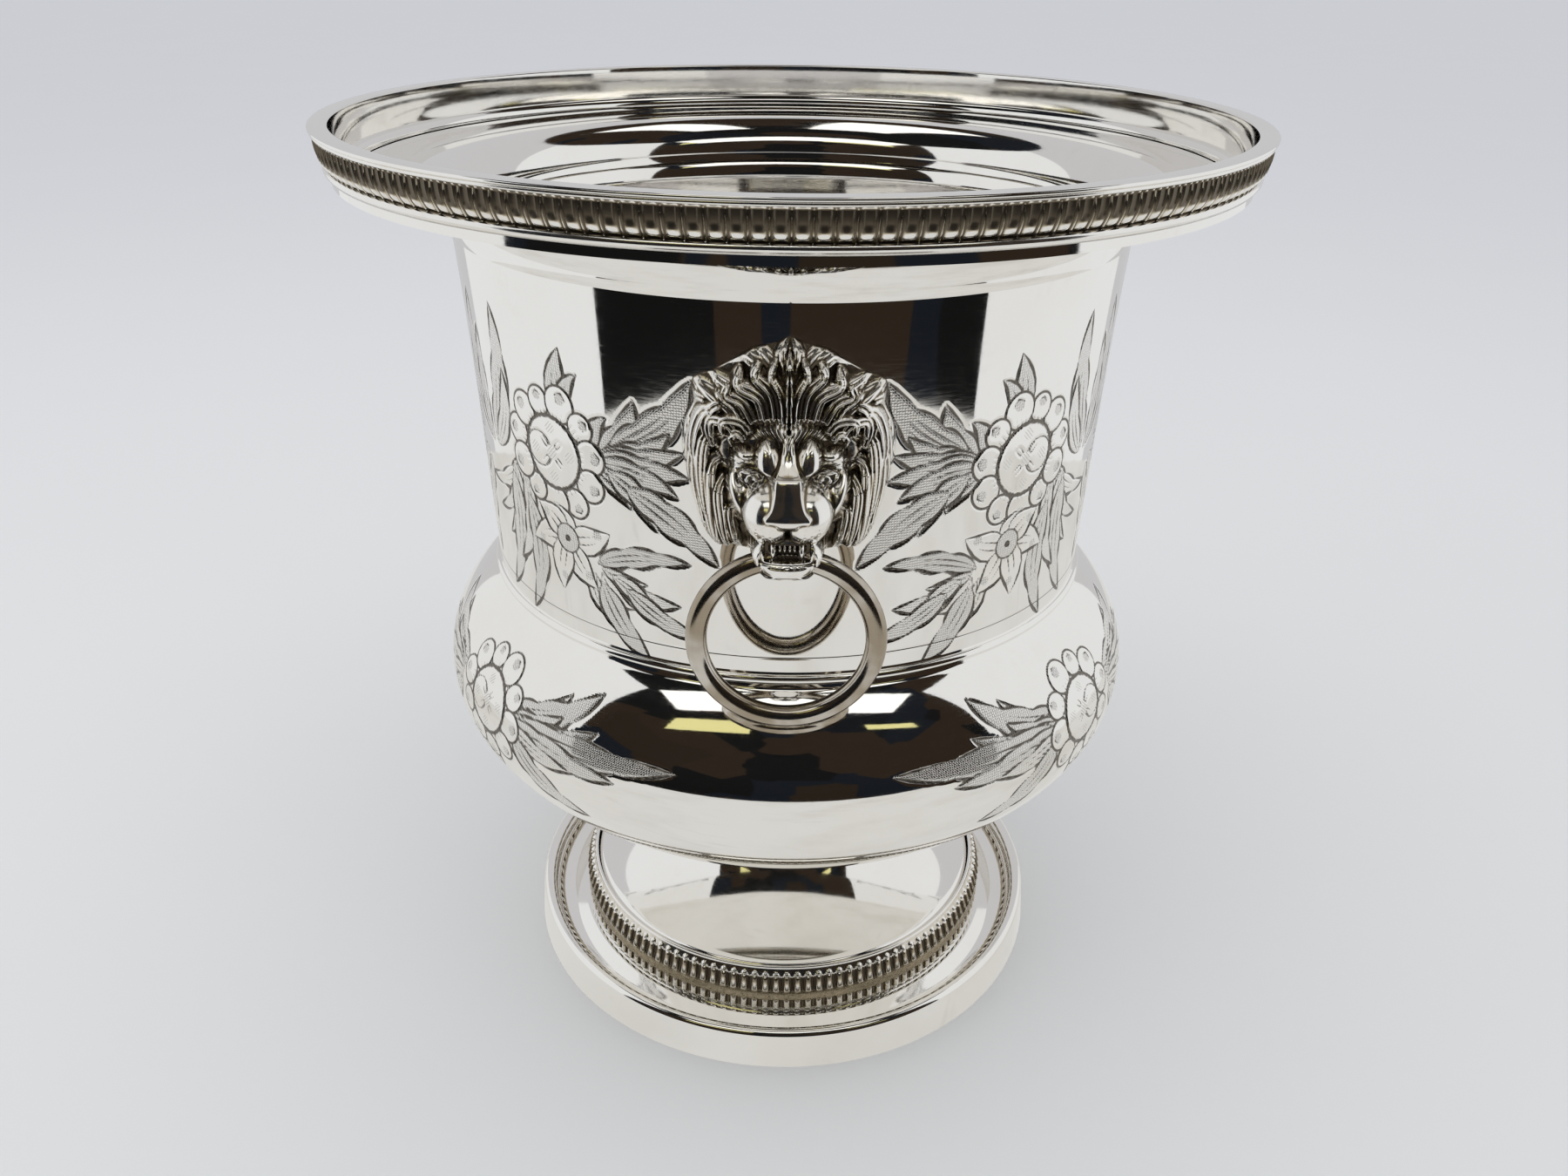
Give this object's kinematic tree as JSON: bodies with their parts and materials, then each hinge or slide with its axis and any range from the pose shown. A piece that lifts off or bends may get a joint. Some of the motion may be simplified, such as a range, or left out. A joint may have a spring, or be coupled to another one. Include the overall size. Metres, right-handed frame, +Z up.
{
  "type": "champagne bucket",
  "caption": "Footed silver-plated urn-shaped champagne bucket with a gadrooned rim and foot, engraved walls, and lion masks holding swinging ring handles.",
  "frame": {"origin": "centre of the foot's underside", "axes": "+Z up along the bucket's axis; the front lion mask faces -Y and the back one faces +Y"},
  "size_m": [0.2336, 0.2336, 0.25],
  "materials": {
    "polished_silver": "silver-plated brass, mirror polished with fine wear",
    "engraved_silver": "silver-plated brass, mirror polished with bright-cut engraving",
    "cast_silver": "silver-plated brass casting, polished on the high places and oxidised in the recesses",
    "bare_brass": "dull unplated brass inside the foot"
  },
  "bodies": {
    "bucket": {"rim_collar": "polished_silver", "rim_border": "cast_silver", "rim_step_moulding": "polished_silver", "rim_flange": "polished_silver", "upper_wall": "engraved_silver", "waist_moulding": "polished_silver", "lower_bowl": "engraved_silver", "neck_collar": "polished_silver", "foot_stem": "polished_silver", "foot_gadroon_ring": "cast_silver", "foot_base": "polished_silver", "foot_wire": "polished_silver", "fixing_stud": "bare_brass", "spreader_washer": "bare_brass", "fixing_nut": "bare_brass", "lion_mask_front": "cast_silver", "lion_mask_back": "cast_silver"},
    "front_ring": {"ring_handle_front": "polished_silver"},
    "back_ring": {"ring_handle_back": "polished_silver"}
  },
  "joints": [
    {"name": "front_ring_swing", "type": "hinge", "parent": "bucket", "child": "front_ring", "pos_m": [0, -0.0975, 0.17078], "axis": [-1, 0, 0], "range_deg": [-14, 120]},
    {"name": "back_ring_swing", "type": "hinge", "parent": "bucket", "child": "back_ring", "pos_m": [0, 0.0975, 0.17078], "axis": [1, 0, 0], "range_deg": [-14, 120]}
  ]
}
